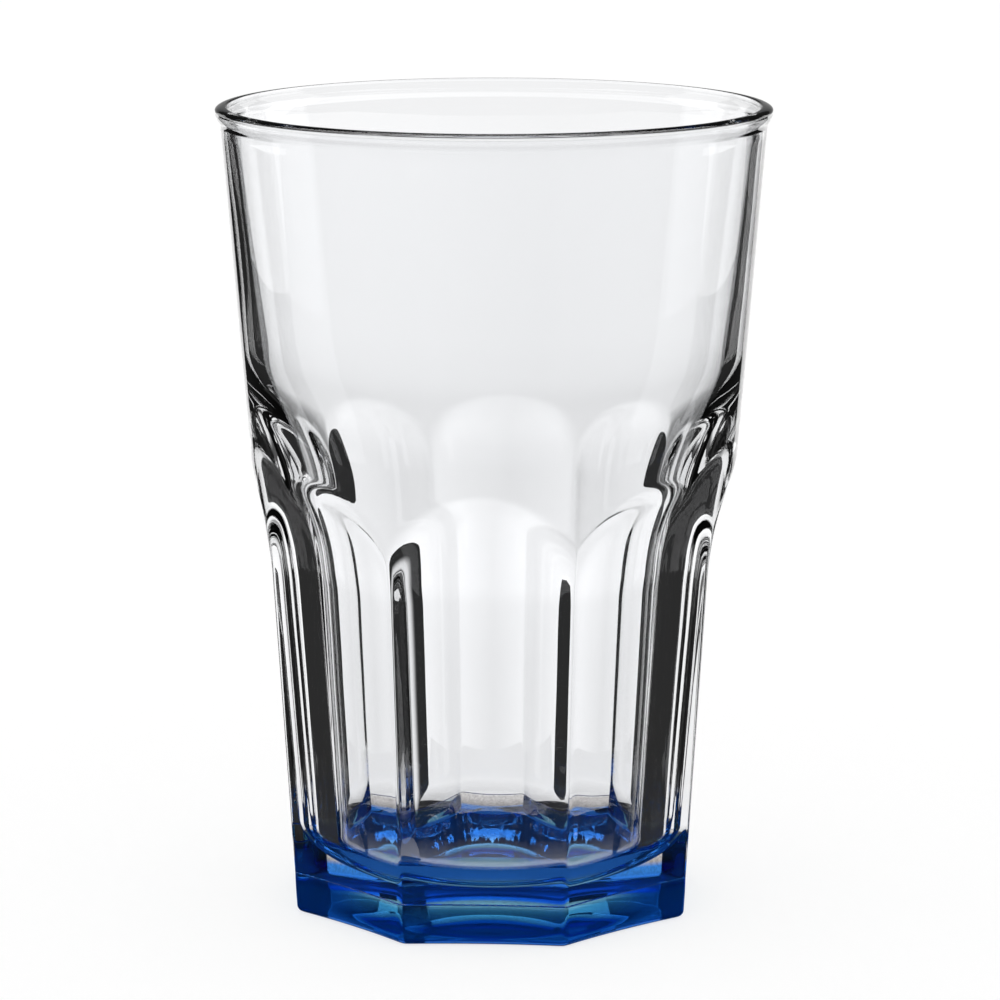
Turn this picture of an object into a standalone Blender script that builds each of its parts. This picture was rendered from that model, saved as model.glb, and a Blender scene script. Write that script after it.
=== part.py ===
"""Arch-panelled pressed tumbler: a clear glass body and the colour coat sprayed on its foot. Metres, +Z up."""

import math

import bmesh
import bpy

MM = 0.001

# Whole glass
PANELS = 8
HEIGHT = 126.0 * MM
RIM_RADIUS = 43.0 * MM
WALL_TAPER = 0.082

# Rim: a round bead that stands a little proud of the wall
BEAD_RADIUS = 1.25 * MM
BEAD_OVERHANG = 0.65 * MM
BEAD_NECK = 1.6 * MM

# Lower body: radius over the ridges at the foot and at the shoulder, and how hollow the panels are at the foot
FOOT_RADIUS = 32.75 * MM
SHOULDER_RADIUS = 36.0 * MM
SHOULDER_HEIGHT = 50.0 * MM
PANEL_HOLLOW = 0.4 * MM

# Arched panel tops: from here up the panel sweeps outwards until it leaves the wall
ARCH_START = 54.5 * MM
ARCH_RISE = 20.0 * MM
ARCH_SWEEP = 32.0 * MM

# Wall thickness: behind the panels at the floor and at the inside shoulder, and of the plain wall above it
FLOOR_THICKNESS = 6.7 * MM
FLOOR_ROUNDING = 9.5 * MM
PANEL_WALL_LOW = 3.8 * MM
PANEL_WALL_HIGH = 3.4 * MM
PLAIN_WALL = 2.6 * MM
INSIDE_SHOULDER_FROM = 55.0 * MM
INSIDE_SHOULDER_TO = 93.0 * MM

# Underside: a shallow dome inside a flat standing ring
DOME_RADIUS = 22.0 * MM
DOME_HEIGHT = 1.2 * MM

# Colour coat, and its clearance to the glass it is sprayed on
COAT_THICKNESS = 0.3 * MM
COAT_CLEARANCE = 0.05 * MM
COAT_HEIGHT = 10.0 * MM

# How far blanks and cutters run past the surfaces they shape
RIDGE_SPARE = 0.25 * MM
SPARE = 3.0 * MM

# Facets to a panel, odd so that the edges of the turned forms and of the panel cutters never coincide
TURN_FACETS = 11
WHEEL_FACETS = 11

HALF_PANEL = math.pi / PANELS
GLASS_FOOT = COAT_THICKNESS + COAT_CLEARANCE
BEAD_HEIGHT = HEIGHT - BEAD_RADIUS

# A panel is a slice of a large wheel: this is where the wheel's centre stands, and how near its edge comes
HALF_WIDTH = FOOT_RADIUS * math.sin(HALF_PANEL)
PANEL_FOOT = FOOT_RADIUS * math.cos(HALF_PANEL) - PANEL_HOLLOW
WHEEL_CENTRE = PANEL_FOOT + (HALF_WIDTH**2 + PANEL_HOLLOW**2) / (2.0 * PANEL_HOLLOW)
PANEL_SHOULDER = WHEEL_CENTRE - math.hypot(
    WHEEL_CENTRE - SHOULDER_RADIUS * math.cos(HALF_PANEL), SHOULDER_RADIUS * math.sin(HALF_PANEL)
)


def arc(centre_x, centre_z, radius, start, end, parts):
    """Points of a circular arc, from the start angle to the end angle in degrees."""
    angles = [math.radians(start + (end - start) * i / parts) for i in range(parts + 1)]
    return [(centre_x + radius * math.cos(a), centre_z + radius * math.sin(a)) for a in angles]


def between(low, high, parts):
    """Heights that divide a span evenly, without its lower end."""
    return [low + (high - low) * i / parts for i in range(1, parts + 1)]


def smooth_share(low, high, z):
    """Share that rises smoothly from 0 at the low height to 1 at the high one."""
    t = min(max((z - low) / (high - low), 0.0), 1.0)
    return t * t * (3.0 - 2.0 * t)


def wall_radius(z):
    """Outside radius of the plain conical wall."""
    return RIM_RADIUS - BEAD_OVERHANG - WALL_TAPER * (BEAD_HEIGHT - z)


def ridge_radius(z):
    """Radius over the ridges between the panels."""
    return FOOT_RADIUS + (SHOULDER_RADIUS - FOOT_RADIUS) * z / SHOULDER_HEIGHT


def panel_middle(z):
    """Distance from the axis to the middle of a panel."""
    return PANEL_FOOT + (PANEL_SHOULDER - PANEL_FOOT) * z / SHOULDER_HEIGHT


def inside_radius(z):
    """Radius of the turned inside: one taper behind the panels and one above, joined by a soft shoulder."""
    floor_top = GLASS_FOOT + FLOOR_THICKNESS + FLOOR_ROUNDING
    rise = (z - floor_top) / (INSIDE_SHOULDER_FROM - floor_top)
    lower = panel_middle(z) - PANEL_WALL_LOW - (PANEL_WALL_HIGH - PANEL_WALL_LOW) * rise
    rim_wall = 2.0 * BEAD_RADIUS - BEAD_OVERHANG
    drop = (BEAD_HEIGHT - z) / (BEAD_HEIGHT - INSIDE_SHOULDER_TO)
    upper = wall_radius(z) - rim_wall - (PLAIN_WALL - rim_wall) * drop
    return lower + (upper - lower) * smooth_share(INSIDE_SHOULDER_FROM, INSIDE_SHOULDER_TO, z)


def underside(lift, parts=4):
    """Profile of the underside, from the standing ring in to the axis."""
    reach = [DOME_RADIUS * (1.0 - i / parts) for i in range(parts + 1)]
    return [(x, lift + DOME_HEIGHT * (1.0 - (x / DOME_RADIUS) ** 2)) for x in reach]


def collection(name, parent):
    made = bpy.data.collections.new(name)
    parent.children.link(made)
    return made


def material(name, colour, roughness, transmission):
    made = bpy.data.materials.new(name)
    made.use_nodes = True
    shader = made.node_tree.nodes["Principled BSDF"]
    shader.inputs["Base Color"].default_value = (*colour, 1.0)
    shader.inputs["Roughness"].default_value = roughness
    shader.inputs["Metallic"].default_value = 0.0
    shader.inputs["Transmission Weight"].default_value = transmission
    shader.inputs["IOR"].default_value = 1.52
    return made


def turned(name, profile, home):
    """A solid turned round +Z from a profile that starts and ends on the axis and runs down the outside."""
    mesh = bpy.data.meshes.new(name)
    edges = [(i, i + 1) for i in range(len(profile) - 1)]
    mesh.from_pydata([(x, 0.0, z) for x, z in profile], edges, [])
    made = bpy.data.objects.new(name, mesh)
    home.objects.link(made)
    screw = made.modifiers.new("turn", "SCREW")
    screw.axis = "Z"
    screw.angle = math.tau
    screw.steps = TURN_FACETS * PANELS
    screw.render_steps = TURN_FACETS * PANELS
    screw.use_merge_vertices = True
    screw.merge_threshold = 0.00001
    return made


def as_cutter(made):
    made.display_type = "WIRE"
    made.hide_render = True


def panel_cutters(name, grow, home, arch_parts=14):
    """One slice of a wheel for each panel: it cuts the hollow panel and leaves the wall in an arch."""
    top = ARCH_START + ARCH_RISE
    outer = RIM_RADIUS + SPARE
    profile = [(outer, top), (outer, -SPARE), (panel_middle(-SPARE) + grow, -SPARE)]
    for up in [0.0] + between(0.0, ARCH_RISE, arch_parts):
        lean = ARCH_SWEEP - math.sqrt(ARCH_SWEEP**2 - up**2)
        profile.append((panel_middle(ARCH_START + up) + lean + grow, ARCH_START + up))
    reach = math.asin((ridge_radius(top) * math.sin(HALF_PANEL) + SPARE) / (WHEEL_CENTRE - outer))
    slice_mesh = spun_slice(name, [(x - WHEEL_CENTRE, z) for x, z in profile], reach)
    for k in range(PANELS):
        cutter = bpy.data.objects.new(f"{name}_{k + 1}", slice_mesh)
        home.objects.link(cutter)
        angle = math.tau * k / PANELS - math.pi / 2.0
        cutter.location = (WHEEL_CENTRE * math.cos(angle), WHEEL_CENTRE * math.sin(angle), 0.0)
        cutter.rotation_euler = (0.0, 0.0, angle)
        as_cutter(cutter)


def spun_slice(name, profile, reach):
    """A closed solid: the profile as a face, spun round Z from -reach to +reach."""
    shape = bmesh.new()
    start = [shape.verts.new((x * math.cos(reach), -x * math.sin(reach), z)) for x, z in profile]
    face = shape.faces.new(start)
    bmesh.ops.spin(
        shape,
        geom=[*start, *face.edges, face],
        cent=(0.0, 0.0, 0.0),
        axis=(0.0, 0.0, 1.0),
        angle=2.0 * reach,
        steps=WHEEL_FACETS,
    )
    bmesh.ops.recalc_face_normals(shape, faces=shape.faces)
    mesh = bpy.data.meshes.new(name)
    shape.to_mesh(mesh)
    shape.free()
    return mesh


def subtract(target, operand):
    """Cut an object, or every object of a collection, out of the target."""
    cut = target.modifiers.new("cut", "BOOLEAN")
    cut.operation = "DIFFERENCE"
    cut.solver = "EXACT"
    if isinstance(operand, bpy.types.Collection):
        cut.operand_type = "COLLECTION"
        cut.collection = operand
    else:
        cut.object = operand


def glass_body(home, panels):
    """The pressed glass: floor, inside wall, rim bead, outside wall and underside in one profile."""
    floor = GLASS_FOOT + FLOOR_THICKNESS
    floor_top = floor + FLOOR_ROUNDING
    profile = [(0.0, floor)]
    profile += arc(inside_radius(floor_top) - FLOOR_ROUNDING, floor_top, FLOOR_ROUNDING, -90, 0, 8)
    heights = between(floor_top, INSIDE_SHOULDER_FROM, 3)
    heights += between(INSIDE_SHOULDER_FROM, INSIDE_SHOULDER_TO, 10)
    profile += [(inside_radius(z), z) for z in heights]
    profile += arc(RIM_RADIUS - BEAD_RADIUS, BEAD_HEIGHT, BEAD_RADIUS, 180, -36, 12)
    neck = BEAD_HEIGHT - BEAD_RADIUS - BEAD_NECK
    arch_top = ARCH_START + ARCH_RISE
    wall_heights = [neck, arch_top + (neck - arch_top) / 2.0]
    wall_heights += [arch_top - (arch_top - ARCH_START) * i / 5 for i in range(6)]
    profile += [(max(wall_radius(z), ridge_radius(ARCH_START) + RIDGE_SPARE), z) for z in wall_heights]
    profile.append((ridge_radius(GLASS_FOOT) + RIDGE_SPARE, GLASS_FOOT))
    profile += underside(GLASS_FOOT)
    body = turned("glass_body", profile, home)
    subtract(body, panels)
    return body


def foot_form(name, lift, top, home, panels):
    """The panelled foot alone, as a solid from its underside to the given top."""
    profile = [(0.0, top), (ridge_radius(top) + SPARE, top), (ridge_radius(lift) + SPARE, lift)]
    profile += underside(lift)
    form = turned(name, profile, home)
    subtract(form, panels)
    return form


def build():
    for old in list(bpy.data.objects):
        bpy.data.objects.remove(old, do_unlink=True)
    scene_root = bpy.context.scene.collection
    glass_home = collection("arch_panelled_tumbler", scene_root)
    cutters = collection("cutters", scene_root)
    cutters.hide_render = True

    glass_panels = collection("glass_panels", cutters)
    panel_cutters("glass_panel", 0.0, glass_panels)
    body = glass_body(glass_home, glass_panels)
    body.data.materials.append(material("clear_glass", (0.97, 0.98, 0.98), 0.02, 1.0))

    core_panels = collection("coat_inside_panels", cutters)
    panel_cutters("coat_inside_panel", COAT_CLEARANCE, core_panels)
    core = foot_form("coat_core", COAT_THICKNESS, COAT_HEIGHT + SPARE, cutters, core_panels)
    as_cutter(core)

    coat_panels = collection("coat_outside_panels", cutters)
    panel_cutters("coat_outside_panel", COAT_CLEARANCE + COAT_THICKNESS, coat_panels)
    coat = foot_form("foot_coat", 0.0, COAT_HEIGHT, glass_home, coat_panels)
    subtract(coat, core)
    coat.data.materials.append(material("blue_lacquer", (0.02, 0.16, 0.62), 0.08, 0.6))


build()
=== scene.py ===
"""Looks of the arch-panelled tumbler: fine glass, the colour film on its foot, and a bright-field studio."""

import math

import bpy
import numpy as np
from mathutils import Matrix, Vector


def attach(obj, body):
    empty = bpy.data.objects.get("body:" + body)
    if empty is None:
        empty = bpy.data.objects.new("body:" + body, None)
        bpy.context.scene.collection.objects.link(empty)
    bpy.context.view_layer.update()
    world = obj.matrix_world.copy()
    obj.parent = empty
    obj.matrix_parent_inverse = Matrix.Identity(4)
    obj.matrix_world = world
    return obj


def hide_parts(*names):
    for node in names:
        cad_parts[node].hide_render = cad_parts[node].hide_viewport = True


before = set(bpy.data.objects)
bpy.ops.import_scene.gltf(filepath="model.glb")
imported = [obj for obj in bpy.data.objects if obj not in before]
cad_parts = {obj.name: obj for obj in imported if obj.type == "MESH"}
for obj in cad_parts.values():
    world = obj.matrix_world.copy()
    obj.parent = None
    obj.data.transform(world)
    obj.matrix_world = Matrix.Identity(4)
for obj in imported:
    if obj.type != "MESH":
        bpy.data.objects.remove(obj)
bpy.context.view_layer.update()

MM = 0.001

# Glass, in millimetres
PANELS = 8
HALF_PANEL = math.pi / PANELS
HEIGHT = 125.75
RIM_RADIUS = 43.0
WALL_TAPER = 0.082
BEAD_WIDTH = 1.9
BEAD_CREST = 0.3
BEAD_RISE = 0.65
BEAD_HEIGHT = HEIGHT - BEAD_RISE
BEAD_ROOT_HEIGHT = BEAD_HEIGHT - 0.4
BEAD_ROOT_RADIUS = RIM_RADIUS - 0.05
BEAD_START_ANGLE = -0.25
BEAD_OVERHANG = 0.65
NECK_HEIGHT = BEAD_HEIGHT - 2.4
LIP_FLARE = 0.6
FOOT_RADIUS = 32.75
SHOULDER_RADIUS = 36.124
SHOULDER_HEIGHT = 50.0
PANEL_HOLLOW = 0.533
PANEL_HOLLOW_RISE = 0.0036
LEAST_ARCH_STEP = 0.25
ARCH_START = 53.97
ARCH_SWEEP = 34.556
ARCH_ROUND_SHARE = 0.9
ARCH_END_SLOPE = 2.0
FLOOR_HEIGHT = 6.0
FLOOR_ROUNDING = 7.5
FLOOR_ROUNDING_POWER = 2.4
PANEL_WALL_LOW = 4.661
PANEL_WALL_HIGH = 3.921
PLAIN_WALL = 2.85
PLAIN_WALL_HEIGHT = 93.0
RIM_WALL = 1.788
INSIDE_SHOULDER_FROM = 56.72
INSIDE_SHOULDER_TO = 87.847
INSIDE_SHOULDER_EASE = 0.917
DOME_RADIUS = 22.0
DOME_HEIGHT = 1.2

# Fire-polished softness of the edges, in millimetres
RIDGE_SOFTNESS = 0.313
ARCH_SOFTNESS = 0.923
FOOT_ROUNDING = 1.0

# Fineness of the meshes; the wall has its rings up to each height in turn, closest round the arches
STEPS_PER_PANEL = 36
RIDGE_CROWDING = 1.35
DOME_RINGS = 10
DOME_START = 0.02
STANDING_RINGS = 5
ROUNDING_RINGS = 7
FOOT_SIDE_RINGS = 20
WALL_RINGS = ((48.0, 24), (80.0, 80), (NECK_HEIGHT, 24))
NECK_RINGS = 12
BEAD_RINGS = 24
LIP_RINGS = 16
CAVITY_RINGS = 110
FLOOR_RINGS = 29
FLOOR_END = 0.98

# Look of the glass: tones below and above the arches, by height in millimetres, the greyer upper one being
# painted shade, and slow waves of its skin
IOR = 1.52
LOWER_TONE = (0.985, 0.99, 1.0)
UPPER_SHADED_TONE = (0.945, 0.95, 0.959)
TONE_CHANGE = (55.0, 75.0)
WAVE_SCALE = 55.0
WAVE_STRENGTH = 0.6
WAVE_DEPTH = 0.1
WORN_WAVES = (0.35, 0.7)
WORN_ROUGHNESS = 0.012

# Colour film, in millimetres: it lies on the glass with a gap too thin to see, and thins out at its top
FILM = 0.05
CONTACT = 0.02
GLASS_LIFT = FILM + CONTACT
FILM_TOP = 6.6
FILM_FEATHER = 3.0
UNDER_COLOUR = (0.03, 0.2, 0.75)
SIDE_COLOUR = (0.24, 0.61, 0.82)
BACK_COLOUR = (0.05, 0.28, 0.85)
BACK_SHADE_COLOUR = (0.48, 0.46, 0.46)
BACK_GREY_COLOUR = (0.85, 0.82, 0.8)
CLEAR_COLOUR = (1.0, 1.0, 1.0)
PIGMENT_COLOUR = (0.004, 0.09, 0.42)
UNDER_PIGMENT = 0.36
SIDE_PIGMENT = 0.2

# Colour of the film by height in millimetres, on the front and on the back facets, and where it changes; the
# front is painted lighter and the back darker with a grey band, as painted light and shade
FRONT_COAT = (
    (0.0, SIDE_COLOUR),
    (5.6, SIDE_COLOUR),
    (6.5, CLEAR_COLOUR),
)
BACK_COAT = (
    (0.0, BACK_COLOUR),
    (2.0, BACK_COLOUR),
    (2.8, BACK_SHADE_COLOUR),
    (4.8, BACK_GREY_COLOUR),
    (5.9, BACK_GREY_COLOUR),
    (6.5, CLEAR_COLOUR),
)
FRONT_TO_BACK = (22.0, 29.0)
UNDER_TO_SIDE = (0.3, 1.2)
PIGMENT_FADE = (4.2, 6.2)
GRAIN_SCALE = 1400.0
GRAIN_SPOTS = (0.42, 0.62)
GRAIN_DARKNESS = 0.78

# Corners of the light boards, in millimetres: across and away as the camera sees them, and height
BACK_BOARD = ((-187.0, 400.0, -280.0), (215.0, 400.0, -280.0), (215.0, 400.0, 75.0), (-187.0, 400.0, 75.0))
BACK_BOARD_TOP = ((-187.0, 400.0, 75.0), (215.0, 400.0, 75.0), (215.0, 400.0, 200.0), (-187.0, 400.0, 200.0))
TABLE_BEHIND = ((-36.0, 31.0, -0.04), (38.0, 31.0, -0.04), (52.0, 90.0, -0.04), (-46.0, 90.0, -0.04))
TOP_LEFT = ((-420.0, 400.0, 80.0), (-187.0, 400.0, 80.0), (-187.0, 400.0, 250.0), (-420.0, 400.0, 250.0))
TOP_RIGHT = ((215.0, 400.0, 80.0), (440.0, 400.0, 80.0), (440.0, 400.0, 250.0), (215.0, 400.0, 250.0))
CEILING = ((-400.0, -100.0, 600.0), (400.0, -100.0, 600.0), (400.0, 500.0, 600.0), (-400.0, 500.0, 600.0))
LEFT_BOARD = ((-420.0, 60.0, 0.0), (-420.0, 350.0, 0.0), (-420.0, 350.0, 450.0), (-420.0, 60.0, 450.0))
RIGHT_BOARD = ((420.0, 60.0, 0.0), (420.0, 350.0, 0.0), (420.0, 350.0, 450.0), (420.0, 60.0, 450.0))

# Brightness of the boards: by height behind the glass, by depth on the table with a painted shadow near the
# foot, and even elsewhere
BACK_LEVELS = (
    (-170.0, 0.1),
    (-135.0, 0.4),
    (-110.0, 0.94),
    (-60.0, 0.957),
    (-45.0, 1.0),
    (-30.0, 1.05),
    (-10.0, 1.08),
    (20.0, 1.085),
    (58.0, 1.115),
    (72.0, 1.04),
)
TOP_LEVELS = (
    (92.0, 1.02),
    (102.0, 0.75),
    (110.0, 0.4),
    (125.0, 0.4),
    (140.0, 0.35),
    (170.0, 0.2),
    (200.0, 0.1),
)
TOP_PLAIN_LEVEL = 1.02
BEHIND_SHADOW_LEVELS = ((30.0, 0.6), (40.0, 0.85), (55.0, 1.0), (75.0, 0.95))
LEVELS_REACH = 300.0
SIDE_GAIN = 0.9
SIDE_GAIN_CENTRE = -5.0
EVEN_BOARDS = (
    ("top_left", TOP_LEFT, 0.9),
    ("top_right", TOP_RIGHT, 0.9),
    ("ceiling", CEILING, 2.0),
    ("left_board", LEFT_BOARD, 1.0),
    ("right_board", RIGHT_BOARD, 1.0),
)

# Room, floor and table, in millimetres; angles are from the direction straight behind the glass
ROOM_COLOUR = (1.0, 1.0, 1.0)
ROOM_LEVEL = 1.0
DARK_LEVEL = 0.025
FIELD_LEVEL = 1.0
FIELD_FROM = (math.radians(36.0), math.radians(44.0))
FLOOR_RADIUS = 8000.0
FLOOR_DROP = 0.05
FLOOR_COLOUR = (0.3, 0.3, 0.3)
FLOOR_GLOW = 0.71
# The disc under the foot glows dimly: a painted shadow of the glass on the table
TABLE_REACH = 31.0
TABLE_DROP = 0.04
TABLE_SHADOW_LEVEL = 0.45

# Light paths: a count of bounces below ANY_BOUNCE is none, and the other two are the most that are followed
ANY_BOUNCE = 0.5
LIGHT_BOUNCES = 8
CLEAR_BOUNCES = 64

# Camera, from the fit to the rim and the foot of the glass in the photograph
CAMERA_AZIMUTH = math.radians(3.034)
CAMERA_ELEVATION = math.radians(10.843)
CAMERA_DISTANCE = 726.256
CAMERA_AIM = (0.916, 0.049, 63.669)
FOCAL_PIXELS = 4637.888
PHOTO_PIXELS = 1000.0
SENSOR_WIDTH = 36.0
NEAREST_SEEN = 0.01
FARTHEST_SEEN = 100.0


def soft_min(a, b, reach):
    """The smaller of two surfaces, with the edge between them rounded over the given reach."""
    share = np.clip(0.5 + 0.5 * (b - a) / reach, 0.0, 1.0)
    return b * (1.0 - share) + a * share - reach * share * (1.0 - share)


def smooth_share(low, high, value):
    """Goes smoothly from 0 to 1 as the value goes from low to high."""
    t = np.clip((value - low) / (high - low), 0.0, 1.0)
    return t * t * (3.0 - 2.0 * t)


def spread(low, high, parts):
    """Values from low to high, without low."""
    return list(np.linspace(low, high, parts + 1)[1:])


def wall_radius(z):
    """Outside radius of the plain conical wall."""
    return RIM_RADIUS - BEAD_OVERHANG - WALL_TAPER * (BEAD_HEIGHT - z)


def ridge_radius(z):
    """Radius of the ridges between the panels, before they are softened."""
    return FOOT_RADIUS + (SHOULDER_RADIUS - FOOT_RADIUS) * z / SHOULDER_HEIGHT


def panel_depth(z):
    """How far the middle of a panel lies inside the straight line between its ridges."""
    return PANEL_HOLLOW + PANEL_HOLLOW_RISE * z


def panel_middle(z):
    """Distance from the axis to the middle of a panel, below its arch."""
    return ridge_radius(z) * math.cos(HALF_PANEL) - panel_depth(z)


def arch_lean(z):
    """How far a panel sweeps outwards above the arch start: a round sweep, then a straight slope."""
    up = min(max(z - ARCH_START, 0.0), ARCH_ROUND_SHARE * ARCH_SWEEP)
    beyond = max(z - ARCH_START - up, 0.0)
    return ARCH_SWEEP - math.sqrt(ARCH_SWEEP**2 - up**2) + ARCH_END_SLOPE * beyond


def panel_radius(turn, z):
    """Radius of a hollow panel, cut by a round wheel, at an angle from the panel's middle."""
    depth = panel_depth(z)
    half_width = ridge_radius(z) * math.sin(HALF_PANEL)
    wheel_radius = (half_width**2 + depth**2) / (2.0 * depth)
    centre = panel_middle(z) + wheel_radius
    reach = wheel_radius - arch_lean(z)
    return centre * np.cos(turn) - np.sqrt(np.maximum(reach**2 - (centre * np.sin(turn)) ** 2, 0.0))


def outside_radius(z):
    """Outside of the glass all round: panels cut into the wall, with rounded ridges and arches."""
    own = (TURNS + HALF_PANEL) % (2.0 * HALF_PANEL) - HALF_PANEL
    next_one = np.where(own > 0.0, own - 2.0 * HALF_PANEL, own + 2.0 * HALF_PANEL)
    panels = soft_min(panel_radius(own, z), panel_radius(next_one, z), RIDGE_SOFTNESS)
    wall = max(wall_radius(z), ridge_radius(z) + LEAST_ARCH_STEP)
    return soft_min(panels, np.full_like(panels, wall), ARCH_SOFTNESS)


def inside_radius(z):
    """Inside of the glass: one taper behind the panels and one above, joined by a soft shoulder."""
    foot = FLOOR_HEIGHT + FLOOR_ROUNDING
    rise = (z - foot) / (INSIDE_SHOULDER_FROM - foot)
    lower = panel_middle(z) - PANEL_WALL_LOW - (PANEL_WALL_HIGH - PANEL_WALL_LOW) * rise
    drop = (BEAD_HEIGHT - z) / (BEAD_HEIGHT - PLAIN_WALL_HEIGHT)
    upper = wall_radius(z) - RIM_WALL - (PLAIN_WALL - RIM_WALL) * drop
    upper = upper + LIP_FLARE * smooth_share(NECK_HEIGHT, BEAD_ROOT_HEIGHT, z)
    up = np.clip((z - INSIDE_SHOULDER_FROM) / (INSIDE_SHOULDER_TO - INSIDE_SHOULDER_FROM), 0.0, 1.0)
    return lower + (upper - lower) * smooth_share(0.0, 1.0, up**INSIDE_SHOULDER_EASE)


def panel_turns():
    """Angles round the glass, closer together near the ridges."""
    u = np.linspace(-1.0, 1.0, STEPS_PER_PANEL, endpoint=False)
    within = np.sign(u) * (1.0 - (1.0 - np.abs(u)) ** RIDGE_CROWDING) * HALF_PANEL
    return np.concatenate([within + 2.0 * HALF_PANEL * panel for panel in range(PANELS)])


TURNS = panel_turns()
FOOT_HEIGHTS = spread(GLASS_LIFT + FOOT_ROUNDING, FILM_TOP, FOOT_SIDE_RINGS)


def round_ring(radius, z):
    """Plain round ring: its radius all round, and its height."""
    return np.full_like(TURNS, radius), z


def foot_rings(offset, heights):
    """Rings from the dome of the underside over the foot and up its side, pushed out by an offset."""
    ground = GLASS_LIFT
    edge = outside_radius(ground) - FOOT_ROUNDING
    rings = []
    for share in np.linspace(DOME_START, 1.0, DOME_RINGS):
        rings.append(round_ring(DOME_RADIUS * share, ground + DOME_HEIGHT * (1.0 - share**2) - offset))
    for share in spread(0.0, 1.0, STANDING_RINGS):
        rings.append((DOME_RADIUS * (1.0 - share) + edge * share, ground - offset))
    for angle in spread(0.0, math.pi / 2.0, ROUNDING_RINGS):
        z = ground + FOOT_ROUNDING * (1.0 - math.cos(angle))
        inset = FOOT_ROUNDING * (1.0 - math.sin(angle)) - offset * math.sin(angle)
        rings.append((outside_radius(z) - inset, z - offset * math.cos(angle)))
    for z in heights:
        thinning = smooth_share(FILM_TOP - FILM_FEATHER, FILM_TOP, z)
        rings.append((outside_radius(z) + offset * (1.0 - thinning), z))
    return rings


def skin(name, rings, first_centre, last_centre):
    """Mesh through rings of points; each end closes in a fan round a centre on the axis."""
    count = len(TURNS)
    points = []
    for radius, z in rings:
        points.append(np.stack([radius * np.sin(TURNS), -radius * np.cos(TURNS), np.full(count, z)], axis=-1))
    points.append(np.array([[0.0, 0.0, first_centre], [0.0, 0.0, last_centre]]))
    index = np.arange(len(rings) * count).reshape(len(rings), count)
    after = np.roll(index, -1, axis=1)
    faces = np.stack([index[:-1], after[:-1], after[1:], index[1:]], axis=-1).reshape(-1, 4).tolist()
    first = len(rings) * count
    last = first + 1
    for step in range(count):
        faces.append([first, int(after[0, step]), int(index[0, step])])
        faces.append([last, int(index[-1, step]), int(after[-1, step])])
    mesh = bpy.data.meshes.new(name)
    mesh.from_pydata((np.concatenate(points) * MM).tolist(), [], faces)
    mesh.update()
    made = bpy.data.objects.new(name, mesh)
    bpy.context.scene.collection.objects.link(made)
    return made


def neck_rings():
    """Rings from the plain wall out to the root of the bead."""
    rings = []
    for share in np.linspace(0.0, 1.0, NECK_RINGS + 2)[1:-1]:
        z = NECK_HEIGHT + (BEAD_ROOT_HEIGHT - NECK_HEIGHT) * share
        ease = smooth_share(0.0, 1.0, share)
        rings.append(round_ring(wall_radius(z) * (1.0 - ease) + BEAD_ROOT_RADIUS * ease, z))
    return rings


def bead_rings():
    """Rings over the bead, whose crest lies near the inside."""
    crest = RIM_RADIUS - BEAD_WIDTH + BEAD_CREST
    rings = []
    for angle in np.linspace(BEAD_START_ANGLE, math.pi, BEAD_RINGS):
        reach = BEAD_WIDTH - BEAD_CREST if angle < math.pi / 2.0 else BEAD_CREST
        rings.append(round_ring(crest + reach * math.cos(angle), BEAD_HEIGHT + BEAD_RISE * math.sin(angle)))
    return rings


def cavity_rings():
    """Rings from the bead down the inside and over the rounded floor."""
    foot = FLOOR_HEIGHT + FLOOR_ROUNDING
    power = 2.0 / FLOOR_ROUNDING_POWER
    rings = []
    for z in spread(BEAD_HEIGHT, NECK_HEIGHT, LIP_RINGS) + spread(NECK_HEIGHT, foot, CAVITY_RINGS):
        rings.append(round_ring(inside_radius(z), z))
    for angle in spread(0.0, FLOOR_END * math.pi / 2.0, FLOOR_RINGS):
        radius = inside_radius(foot) * math.cos(angle) ** power
        rings.append(round_ring(radius, foot - FLOOR_ROUNDING * math.sin(angle) ** power))
    return rings


def glass_mesh():
    """The glass as one closed skin, from the underside over the bead to the floor of the cavity."""
    heights = list(FOOT_HEIGHTS)
    low = FILM_TOP
    for high, parts in WALL_RINGS:
        heights += spread(low, high, parts)
        low = high
    rings = foot_rings(0.0, heights) + neck_rings() + bead_rings() + cavity_rings()
    return skin("tumbler_glass", rings, GLASS_LIFT + DOME_HEIGHT, FLOOR_HEIGHT)


def film_mesh():
    """The film as one closed skin, up its outside and down its inside."""
    outer = foot_rings(GLASS_LIFT, FOOT_HEIGHTS)
    inner = foot_rings(CONTACT, FOOT_HEIGHTS[:-1])
    return skin("foot_film", outer + inner[::-1], DOME_HEIGHT, DOME_HEIGHT + FILM)


def paint(made, seen, contact, contact_comes_first):
    """Give the faces where glass and film touch the contact material; only the seen ones are smooth."""
    count = len(TURNS)
    rows = len(made.data.polygons) // count - 2
    foot_rows = len(foot_rings(0.0, FOOT_HEIGHTS)) - 1
    in_contact = (np.arange(rows) < foot_rows) == contact_comes_first
    fans = [contact_comes_first, not contact_comes_first]
    hidden = np.concatenate([np.repeat(in_contact, count), np.tile(fans, count)])
    made.data.materials.append(seen)
    made.data.materials.append(contact)
    made.data.polygons.foreach_set("material_index", hidden.astype(np.int32))
    made.data.polygons.foreach_set("use_smooth", ~hidden)


def opaque(colour):
    return (*colour, 1.0)


def node(tree, kind, **inputs):
    """New node; inputs are named by keyword, with an underscore for a space."""
    made = tree.nodes.new(kind)
    for name, value in inputs.items():
        made.inputs[name.replace("_", " ")].default_value = value
    return made


def feed(tree, value, socket):
    """Link an output to a socket, or set the socket's own value."""
    if isinstance(value, bpy.types.NodeSocket):
        tree.links.new(value, socket)
    else:
        socket.default_value = value


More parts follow.
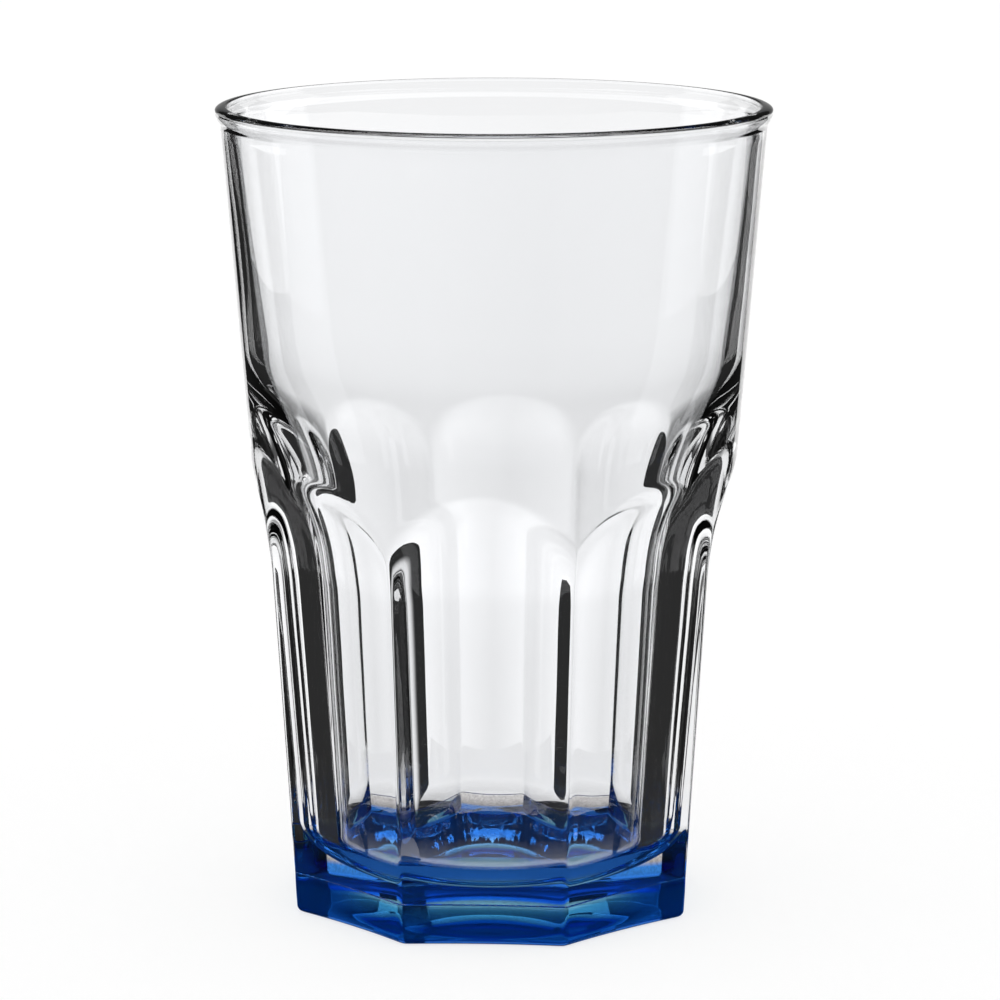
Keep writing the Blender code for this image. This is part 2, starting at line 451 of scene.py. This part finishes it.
def calculated(tree, operation, *values):
    """Output of a Math node fed by outputs or numbers."""
    made = tree.nodes.new("ShaderNodeMath")
    made.operation = operation
    for slot, value in enumerate(values):
        feed(tree, value, made.inputs[slot])
    return made.outputs[0]


def mixed(tree, share, first, second):
    """Number that goes from the first to the second as the share goes from 0 to 1."""
    return calculated(tree, "MULTIPLY_ADD", share, calculated(tree, "SUBTRACT", second, first), first)


def mixed_colours(tree, share, first, second, blend_type="MIX"):
    """Colour that goes from the first to the blended second as the share goes from 0 to 1."""
    mix = tree.nodes.new("ShaderNodeMix")
    mix.data_type = "RGBA"
    mix.blend_type = blend_type
    for name, value in (("Factor", share), ("A", first), ("B", second)):
        feed(tree, value, mix.inputs[name])
    return mix.outputs["Result"]


def mixed_shaders(tree, share, first, second):
    """Shader that goes from the first to the second as the share goes from 0 to 1."""
    mix = tree.nodes.new("ShaderNodeMixShader")
    for slot, value in enumerate((share, first.outputs[0], second.outputs[0])):
        feed(tree, value, mix.inputs[slot])
    return mix


def ramp_between(tree, value, low, high, from_value=0.0, to_value=1.0):
    """Output that goes smoothly from one value to the other as the input goes from low to high."""
    made = tree.nodes.new("ShaderNodeMapRange")
    made.interpolation_type = "SMOOTHSTEP"
    for name, number in (("From Min", low), ("From Max", high), ("To Min", from_value), ("To Max", to_value)):
        made.inputs[name].default_value = number
    tree.links.new(value, made.inputs["Value"])
    return made.outputs[0]


def ramp_over(tree, length, limits, from_value=0.0, to_value=1.0):
    """The same over a length, with its limits in millimetres."""
    low, high = limits
    return ramp_between(tree, length, low * MM, high * MM, from_value, to_value)


def colour_ramp(tree, place, stops):
    """Colour between stops, each with its place from 0 to 1."""
    ramp = tree.nodes.new("ShaderNodeValToRGB")
    tree.links.new(place, ramp.inputs[0])
    elements = ramp.color_ramp.elements
    while len(elements) < len(stops):
        elements.new(0.5)
    for element, (position, colour) in zip(elements, stops):
        element.position = position
        element.color = opaque(colour)
    return ramp.outputs[0]


def object_place(tree):
    """Where on its piece a point lies."""
    return tree.nodes.new("ShaderNodeTexCoord").outputs["Object"]


def axes_of(tree, vector):
    """X, Y and Z of a vector."""
    split = tree.nodes.new("ShaderNodeSeparateXYZ")
    tree.links.new(vector, split.inputs[0])
    return split.outputs


def noise(tree, scale, detail, roughness):
    """Irregular pattern fixed to the piece."""
    made = node(tree, "ShaderNodeTexNoise", Scale=scale, Detail=detail, Roughness=roughness)
    tree.links.new(object_place(tree), made.inputs["Vector"])
    return made.outputs[0]


def new_material(name):
    """Empty material; returns it with its node tree and the socket of its surface."""
    made = bpy.data.materials.new(name)
    made.use_nodes = True
    tree = made.node_tree
    tree.nodes.clear()
    return made, tree, tree.nodes.new("ShaderNodeOutputMaterial").inputs["Surface"]


def clear_glass():
    """Clear glass with the slow waves and faint wear of a pressed skin; the plain wall is a little greyer,
    which is painted shade.
    """
    made, tree, surface = new_material("pressed_glass")
    shader = node(tree, "ShaderNodeBsdfPrincipled", IOR=IOR, Transmission_Weight=1.0)
    # Greyer glass above the arches: painted shade by height
    upper = ramp_over(tree, axes_of(tree, object_place(tree))["Z"], TONE_CHANGE)
    tone = mixed_colours(tree, upper, opaque(LOWER_TONE), opaque(UPPER_SHADED_TONE))
    tree.links.new(tone, shader.inputs["Base Color"])
    wave = noise(tree, scale=WAVE_SCALE, detail=1.0, roughness=0.4)
    tree.links.new(ramp_between(tree, wave, *WORN_WAVES, 0.0, WORN_ROUGHNESS), shader.inputs["Roughness"])
    bump = node(tree, "ShaderNodeBump", Strength=WAVE_STRENGTH, Distance=WAVE_DEPTH * MM)
    tree.links.new(wave, bump.inputs["Height"])
    tree.links.new(bump.outputs[0], shader.inputs["Normal"])
    tree.links.new(shader.outputs[0], surface)
    return made


def contact_glass():
    """Where glass and film touch there is no surface to see."""
    made, tree, surface = new_material("glass_under_film")
    tree.links.new(node(tree, "ShaderNodeBsdfTransparent").outputs[0], surface)
    return made


def coat_colour(tree, height, stops):
    """Colour of the coat at a height above the table."""
    place = calculated(tree, "DIVIDE", height, FILM_TOP * MM)
    return colour_ramp(tree, place, [(level / FILM_TOP, colour) for level, colour in stops])


def film_tint(tree):
    """Colour of the lacquer and its share of pigment: deep under the foot, thin and fading up its sides,
    painted lighter on the front facets and darker with a grey band on the back, as painted light and shade.
    """
    place = axes_of(tree, object_place(tree))
    height = place["Z"]
    front = ramp_over(tree, place["Y"], FRONT_TO_BACK, 1.0, 0.0)
    under = ramp_over(tree, height, UNDER_TO_SIDE, 1.0, 0.0)

    grain = noise(tree, scale=GRAIN_SCALE, detail=3.0, roughness=0.6)
    spots = ramp_between(tree, grain, *GRAIN_SPOTS, 1.0, GRAIN_DARKNESS)
    # Back facets: deep blue, then a grey band that is darkest low down, as painted shade, with random grain
    back_shade_and_grain = mixed_colours(tree, 1.0, coat_colour(tree, height, BACK_COAT), spots, "MULTIPLY")
    side = mixed_colours(tree, front, back_shade_and_grain, coat_colour(tree, height, FRONT_COAT))
    tint = mixed_colours(tree, under, side, opaque(UNDER_COLOUR))

    fading = ramp_over(tree, height, PIGMENT_FADE, SIDE_PIGMENT, 0.0)
    side_pigment = calculated(tree, "MULTIPLY", front, fading)
    under_pigment = calculated(tree, "MULTIPLY", under, UNDER_PIGMENT)
    return tint, calculated(tree, "MAXIMUM", under_pigment, side_pigment)


def blue_film():
    """Lacquer that is part clear dye and part pigment, which scatters light to both sides."""
    made, tree, surface = new_material("blue_film")
    tint, pigment_share = film_tint(tree)
    dye = node(tree, "ShaderNodeBsdfGlass", IOR=IOR, Roughness=0.0)
    tree.links.new(tint, dye.inputs["Color"])
    back = node(tree, "ShaderNodeBsdfDiffuse", Color=opaque(PIGMENT_COLOUR))
    through = node(tree, "ShaderNodeBsdfTranslucent", Color=opaque(PIGMENT_COLOUR))
    pigment = mixed_shaders(tree, 0.5, back, through)
    tree.links.new(mixed_shaders(tree, pigment_share, dye, pigment).outputs[0], surface)
    return made


def unless_mirrored(tree, level, mirrored_level):
    """The level, or the other one for light that was mirrored on its way."""
    bounces = tree.nodes.new("ShaderNodeLightPath").outputs["Glossy Depth"]
    return mixed(tree, calculated(tree, "GREATER_THAN", bounces, ANY_BOUNCE), level, mirrored_level)


def studio():
    """White room; glass sees it dark, but for a wide pale field at the sides and in front of it."""
    world = bpy.data.worlds.new("bright_field")
    bpy.context.scene.world = world
    world.use_nodes = True
    tree = world.node_tree
    tree.nodes.clear()
    output = tree.nodes.new("ShaderNodeOutputWorld")
    background = node(tree, "ShaderNodeBackground", Color=opaque(ROOM_COLOUR))
    path = tree.nodes.new("ShaderNodeLightPath").outputs

    direction = axes_of(tree, tree.nodes.new("ShaderNodeTexCoord").outputs["Generated"])
    azimuth = calculated(tree, "ARCTAN2", direction["X"], direction["Y"])
    field = ramp_between(tree, calculated(tree, "ABSOLUTE", azimuth), *FIELD_FROM, DARK_LEVEL, FIELD_LEVEL)
    seen_by_glass = unless_mirrored(tree, field, DARK_LEVEL)

    from_glass = calculated(tree, "MAXIMUM", path["Is Glossy Ray"], path["Is Transmission Ray"])
    unscattered = calculated(tree, "LESS_THAN", path["Diffuse Depth"], ANY_BOUNCE)
    share = calculated(tree, "MULTIPLY", from_glass, unscattered)
    tree.links.new(mixed(tree, share, ROOM_LEVEL, seen_by_glass), background.inputs["Strength"])
    tree.links.new(background.outputs[0], output.inputs["Surface"])


def show_to_glass_only(made):
    made.visible_camera = False
    made.visible_diffuse = False
    made.visible_shadow = False


def light_board(name, corners):
    """Flat board that only glass shows; returns its node tree and the socket of its brightness."""
    points = []
    for across, away, z in corners:
        x = across * math.cos(CAMERA_AZIMUTH) - away * math.sin(CAMERA_AZIMUTH)
        y = across * math.sin(CAMERA_AZIMUTH) + away * math.cos(CAMERA_AZIMUTH)
        points.append((x * MM, y * MM, z * MM))
    mesh = bpy.data.meshes.new(name)
    mesh.from_pydata(points, [], [(0, 1, 2, 3)])
    made = bpy.data.objects.new(name, mesh)
    bpy.context.scene.collection.objects.link(made)
    show_to_glass_only(made)
    glow, tree, surface = new_material(name)
    shine = tree.nodes.new("ShaderNodeEmission")
    tree.links.new(shine.outputs[0], surface)
    mesh.materials.append(glow)
    return tree, shine.inputs["Strength"]


def level_along(tree, distance, levels):
    """Brightness by height or depth, from levels given in millimetres."""
    place = calculated(tree, "MULTIPLY_ADD", distance, 1.0 / (2.0 * LEVELS_REACH * MM), 0.5)
    stops = [(at / (2.0 * LEVELS_REACH) + 0.5, (level, level, level)) for at, level in levels]
    return colour_ramp(tree, place, stops)


def position(tree):
    """X, Y and Z of a point in the room."""
    return axes_of(tree, tree.nodes.new("ShaderNodeNewGeometry").outputs["Position"])


def light_boards():
    """The lower board behind the glass is brighter at its sides, the upper one fades, the table behind the
    foot is dimmer near it as a painted shadow, and the others are even.
    """
    tree, brightness = light_board("back_board", BACK_BOARD)
    place = position(tree)
    aside = calculated(tree, "ABSOLUTE", calculated(tree, "SUBTRACT", place["X"], SIDE_GAIN_CENTRE * MM))
    gain = calculated(tree, "MULTIPLY_ADD", aside, SIDE_GAIN, 1.0)
    level = level_along(tree, place["Z"], BACK_LEVELS)
    tree.links.new(calculated(tree, "MULTIPLY", level, gain), brightness)

    tree, brightness = light_board("back_board_top", BACK_BOARD_TOP)
    level = level_along(tree, position(tree)["Z"], TOP_LEVELS)
    tree.links.new(unless_mirrored(tree, TOP_PLAIN_LEVEL, level), brightness)

    # The table behind the foot glows dimmer close to it: a painted contact shadow
    tree, brightness = light_board("table_behind", TABLE_BEHIND)
    tree.links.new(level_along(tree, position(tree)["Y"], BEHIND_SHADOW_LEVELS), brightness)

    for name, corners, level in EVEN_BOARDS:
        tree, brightness = light_board(name, corners)
        brightness.default_value = level


def disc(name, radius, drop, corners):
    """Flat disc a little below the underside of the glass."""
    place = (0.0, 0.0, -drop * MM)
    bpy.ops.mesh.primitive_circle_add(vertices=corners, radius=radius * MM, fill_type="NGON", location=place)
    made = bpy.context.object
    made.name = name
    return made


def floor():
    """Pale floor; part of its white is for the camera alone, so that it ends as white as the room."""
    made = disc("studio_floor", FLOOR_RADIUS, FLOOR_DROP, corners=96)
    made.visible_transmission = False
    made.visible_glossy = False
    white, tree, surface = new_material("floor_white")
    matt = node(tree, "ShaderNodeBsdfDiffuse", Color=opaque(FLOOR_COLOUR))
    glow = tree.nodes.new("ShaderNodeEmission")
    seen = tree.nodes.new("ShaderNodeLightPath").outputs["Is Camera Ray"]
    tree.links.new(calculated(tree, "MULTIPLY", seen, FLOOR_GLOW), glow.inputs["Strength"])
    both = tree.nodes.new("ShaderNodeAddShader")
    tree.links.new(matt.outputs[0], both.inputs[0])
    tree.links.new(glow.outputs[0], both.inputs[1])
    tree.links.new(both.outputs[0], surface)
    made.data.materials.append(white)


def table_shadow_spot():
    """The table right under the foot, for what the floor of the glass shows of it: a dim glowing disc, which
    is a painted shadow.
    """
    made = disc("table_shadow_spot", TABLE_REACH, TABLE_DROP, corners=48)
    show_to_glass_only(made)
    pale, tree, surface = new_material("table_shadow_spot")
    tree.links.new(node(tree, "ShaderNodeEmission", Strength=TABLE_SHADOW_LEVEL).outputs[0], surface)
    made.data.materials.append(pale)


def camera():
    """The photograph's view of the glass."""
    lens = bpy.data.cameras.new("camera")
    made = bpy.data.objects.new("camera", lens)
    bpy.context.scene.collection.objects.link(made)
    bpy.context.scene.camera = made
    lens.sensor_width = SENSOR_WIDTH
    lens.lens = FOCAL_PIXELS * SENSOR_WIDTH / PHOTO_PIXELS
    lens.clip_start = NEAREST_SEEN
    lens.clip_end = FARTHEST_SEEN
    back = Vector((math.sin(CAMERA_AZIMUTH), -math.cos(CAMERA_AZIMUTH), math.tan(CAMERA_ELEVATION)))
    back.normalize()
    made.location = (Vector(CAMERA_AIM) + back * CAMERA_DISTANCE) * MM
    made.rotation_mode = "QUATERNION"
    made.rotation_quaternion = (-back).to_track_quat("-Z", "Y")


def main():
    scene = bpy.context.scene
    scene.view_settings.view_transform = "Standard"
    scene.cycles.max_bounces = LIGHT_BOUNCES
    scene.cycles.transmission_bounces = LIGHT_BOUNCES
    scene.cycles.glossy_bounces = LIGHT_BOUNCES
    scene.cycles.transparent_max_bounces = CLEAR_BOUNCES

    contact = contact_glass()
    glass = glass_mesh()
    paint(glass, clear_glass(), contact, contact_comes_first=True)
    film = film_mesh()
    paint(film, blue_film(), contact, contact_comes_first=False)

    for piece, cad_node, slot in ((glass, "glass_body", "clear_glass"), (film, "foot_coat", "blue_lacquer")):
        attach(piece, "root")
        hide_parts(cad_node)

    studio()
    light_boards()
    floor()
    table_shadow_spot()
    camera()


main()
